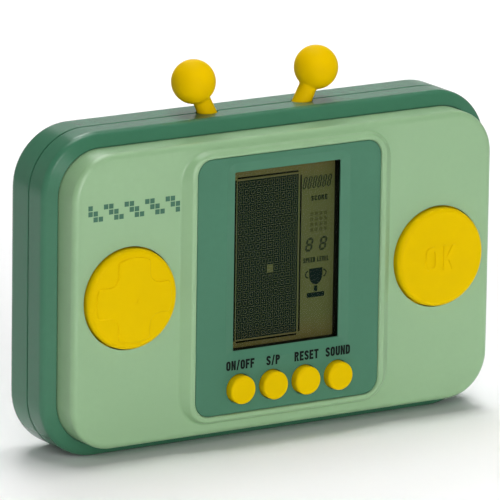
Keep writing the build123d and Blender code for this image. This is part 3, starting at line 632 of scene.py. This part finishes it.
segment_ink = printed_ink("display_segments", srgb(10, 25, 23), 0.4, 0.03)
faint_ink = printed_ink("display_faint", srgb(34, 42, 30), 0.4, 0.04)
ghost_ink = printed_ink("display_ghost", srgb(63, 68, 39), 0.4, 0.04)
line_ink = printed_ink("display_lines", srgb(4, 5, 2), 0.4, 0.04)


def show(name, loops, material):
    """Marks on the film, from loops measured from the middle of the window."""
    front, back = FILM_FRONT - MARK_PROUD, FILM_FRONT + MARK_SUNK
    thin_piece(name, moved(loops, WINDOW.x, WINDOW.z), front, back, material)


pitch_x, pitch_z = (FIELD[2] - FIELD[0]) / COLUMNS, (FIELD[3] - FIELD[1]) / ROWS
cells = []
for column in range(COLUMNS):
    for row in range(ROWS):
        if (column, row) == EMPTY_CELL:
            continue
        left = FIELD[0] + column * pitch_x + CELL_GAP / 2
        low = FIELD[1] + row * pitch_z + CELL_GAP / 2
        right, high = left + pitch_x - CELL_GAP, low + pitch_z - CELL_GAP
        for inset in CELL_INSETS:
            cells.append(box_loop(left + inset, low + inset, right - inset, high - inset))
show("display_playfield", cells, segment_ink)

BORDER = 0.42
FLAT_BORDERS = [(-11.44, 17.83, 15.8), (-11.34, -19.27, 15.7)]  # left end, low edge, length
UPRIGHT_BORDERS = [(-12.09, -18.77, 17.63), (4.81, -18.47, 17.08)]  # left edge, low end, high end
borders = [box_loop(x, z, x + length, z + BORDER) for x, z, length in FLAT_BORDERS]
borders += [box_loop(x, low, x + BORDER, high) for x, low, high in UPRIGHT_BORDERS]
show("display_borders", borders, line_ink)


def seven_segments(x, z, width, height, stroke, lean=0.0, gap=0.05):
    """All seven segments of one digit, leaning to the right."""
    half, middle = stroke / 2, height / 2
    loops = []
    for level in (half, middle, height - half):
        loops.append(
            [
                (half + gap, level),
                (stroke + gap, level - half),
                (width - stroke - gap, level - half),
                (width - half - gap, level),
                (width - stroke - gap, level + half),
                (stroke + gap, level + half),
            ]
        )
    for side in (half, width - half):
        for low, high in ((half + gap, middle - gap), (middle + gap, height - half - gap)):
            loops.append(
                [
                    (side, low),
                    (side + half, low + half),
                    (side + half, high - half),
                    (side, high),
                    (side - half, high - half),
                    (side - half, low + half),
                ]
            )
    return [[(x + px + lean * pz, z + pz) for px, pz in loop] for loop in loops]


def digit_row(count, x, z, step, **digit):
    """A row of digits, step apart."""
    loops = []
    for place in range(count):
        loops += seven_segments(x + place * step, z, **digit)
    return loops


SCORE = dict(count=6, x=5.31, z=13.68, step=1.27, width=0.95, height=2.8, stroke=0.29, lean=0.22)
COUNTER = dict(count=2, x=6.16, z=-0.67, step=3.6, width=1.9, height=3.2, stroke=0.55, lean=0.2)
NEXT_X, NEXT_Z, NEXT_COUNT, NEXT_STEP, NEXT_CELL = 7.56, 3.83, 4, 1.2, 0.8
upcoming = []
for column in range(NEXT_COUNT):
    for row in range(NEXT_COUNT):
        x, z = NEXT_X + column * NEXT_STEP, NEXT_Z + row * NEXT_STEP
        upcoming.append(box_loop(x, z, x + NEXT_CELL, z + NEXT_CELL))
show("display_digits", digit_row(**COUNTER), faint_ink)
show("display_next", upcoming, ghost_ink)
show("display_score", digit_row(**SCORE), segment_ink)

WIDE_TYPE, NARROW_TYPE = Letters(0.74, 1.15, 0.27), Letters(0.56, 1.15, 0.24)
# Each word, its letters, its middle, its foot and the gap between its letters.
WORDS = [
    ("SCORE", WIDE_TYPE, 9.86, 10.83, 0.16),
    ("SPEED", NARROW_TYPE, 7.46, -3.17, 0.1),
    ("LEVEL", NARROW_TYPE, 11.06, -3.17, 0.1),
]
words = []
for text, letters, x, z, gap in WORDS:
    words += letters.centred(text, x, z, gap)
show("display_words", words, segment_ink)

CUP_X, CUP_Z = 9.26, -11.17  # middle and foot
BASE_HALF, BASE_TALL = 2.3, 1.1
STEM_HALF, STEM_LOW, STEM_HIGH = 0.45, 1.3, 2.6
BOWL_RADIUS, BOWL_RISE, BOWL_TOP, BOWL_STRETCH = 1.75, 5.2, 6.6, 1.35
EAR_OUT, EAR_RISE, EAR_RADIUS, EAR_LINE = 1.95, 5.3, 0.75, 0.3
BASE_CORNER = 0.3
BOWL_STEPS, EAR_STEPS = 14, 10
bowl = arc(0, BOWL_RISE, BOWL_RADIUS, 180, 360, BOWL_STEPS, BOWL_STRETCH)
cup = [
    round_box(-BASE_HALF, 0, BASE_HALF, BASE_TALL, BASE_CORNER),
    box_loop(-STEM_HALF, STEM_LOW, STEM_HALF, STEM_HIGH),
    bowl + [(BOWL_RADIUS, BOWL_TOP), (-BOWL_RADIUS, BOWL_TOP)],
]
ear = arc(EAR_OUT, EAR_RISE, EAR_RADIUS, 90, -90, EAR_STEPS)
for side in (-1, 1):
    cup.append(ribbon([(side * x, z) for x, z in ear], EAR_LINE))
show("display_cup_icon", moved(cup, CUP_X, CUP_Z), segment_ink)

# -------------------------------------------------------------- stage, light and camera


def area_light(name, place, target, size, power, spread):
    """A round lamp at place that points at target and isn't seen itself."""
    data = bpy.data.lights.new(name, "AREA")
    data.shape = "DISK"
    data.size = size
    data.energy = power
    data.spread = math.radians(spread)
    lamp = bpy.data.objects.new(name, data)
    lamp.location = place
    lamp.rotation_euler = (Vector(target) - Vector(place)).to_track_quat("-Z", "Y").to_euler()
    lamp.visible_camera = False
    bpy.context.scene.collection.objects.link(lamp)


FLOOR_HALF = 8.0  # metres
FLOOR_PALE, FLOOR_PALER = (0.94, 0.94, 0.94, 1), (0.96, 0.96, 0.96, 1)
FLOOR_CLOUD_MM = 400
floor_mesh = bpy.data.meshes.new("floor")
corners = [(x, y, 0) for x, y in box_loop(-FLOOR_HALF, -FLOOR_HALF, FLOOR_HALF, FLOOR_HALF)]
floor_mesh.from_pydata(corners, [], [(0, 1, 2, 3)])
floor = bpy.data.objects.new("floor", floor_mesh)
bpy.context.scene.collection.objects.link(floor)
pale = Shader("pale_floor")
pale_tone = pale.mix(pale.ramp(pale.noise(FLOOR_CLOUD_MM), 0, 1), FLOOR_PALE, FLOOR_PALER)
pale_surface = pale.node("ShaderNodeBsdfDiffuse", Color=pale_tone)
floor_mesh.materials.append(pale.finish(pale_surface.outputs["BSDF"]))

# The sky's strength fades from SKY_LOW near the horizon to SKY_HIGH overhead.
SKY_LOW, SKY_HIGH = 0.42, 0.08
FADE_FROM, FADE_TO = 0.2, 0.6
sky = bpy.data.worlds.new("studio")
sky.use_nodes = True
nodes, links = sky.node_tree.nodes, sky.node_tree.links
height = nodes.new("ShaderNodeSeparateXYZ")
fade = nodes.new("ShaderNodeMapRange")
fade.inputs["From Min"].default_value = FADE_FROM
fade.inputs["From Max"].default_value = FADE_TO
fade.inputs["To Min"].default_value = SKY_LOW
fade.inputs["To Max"].default_value = SKY_HIGH
links.new(nodes.new("ShaderNodeTexCoord").outputs["Generated"], height.inputs["Vector"])
links.new(height.outputs["Z"], fade.inputs["Value"])
links.new(fade.outputs["Result"], nodes["Background"].inputs["Strength"])
nodes["Background"].inputs["Color"].default_value = (1, 1, 1, 1)
bpy.context.scene.world = sky

middle = (cad_box[0] + cad_box[1]) / 2
OBJECT = (0, 0, 0)
# Each lamp's place and target in metres from the object's middle, its size, its power in watts
# and its spread in degrees.
LIGHTS = [
    ("key_light", (-0.5, -1.03, 0.61), OBJECT, 0.6, 3.9, 180),
    ("low_fill", (-0.15, -1.25, 0.04), OBJECT, 0.16, 4.5, 180),
    ("top_light", (0.1, 0.15, 1.2), OBJECT, 1.0, 8.4, 180),
    ("front_floor_light", (0.1, -0.05, 1.1), (0.08, -0.28, -middle.z), 0.3, 0.35, 34),
    ("rear_panel", (0.78, 1.24, 0.42), OBJECT, 0.9, 0.6, 180),
    ("floor_light", (0.25, 0.75, 0.75), (0.15, 0.35, 0), 0.4, 0.9, 70),
]
for name, place, target, size, power, spread in LIGHTS:
    area_light(name, middle + Vector(place), middle + Vector(target), size, power, spread)

CAMERA_AZIMUTH, CAMERA_ELEVATION, CAMERA_ROLL = -31.99, 13.84, 0.83  # degrees
CAMERA_DISTANCE = 1.58742  # metres
AIM = middle + Vector((-9.27, -9.625, 1.6602)) * MM
LENS_MM, SENSOR_MM = 520.6, 36.0
CLIP_NEAR, CLIP_FAR = 0.05, 60
azimuth, elevation = math.radians(CAMERA_AZIMUTH), math.radians(CAMERA_ELEVATION)
level = math.cos(elevation)
back = Vector((math.sin(azimuth) * level, -math.cos(azimuth) * level, math.sin(elevation)))
camera_data = bpy.data.cameras.new("camera")
camera_data.lens = LENS_MM
camera_data.sensor_width = SENSOR_MM
camera_data.clip_start, camera_data.clip_end = CLIP_NEAR, CLIP_FAR
camera = bpy.data.objects.new("camera", camera_data)
camera.location = AIM + back * CAMERA_DISTANCE
straight = (-back).to_track_quat("-Z", "Y").to_matrix().to_4x4()
roll = Matrix.Rotation(math.radians(CAMERA_ROLL), 4, "Z")
camera.rotation_euler = (straight @ roll).to_euler()
bpy.context.scene.collection.objects.link(camera)
bpy.context.scene.camera = camera

bpy.context.scene.view_settings.view_transform = "Standard"
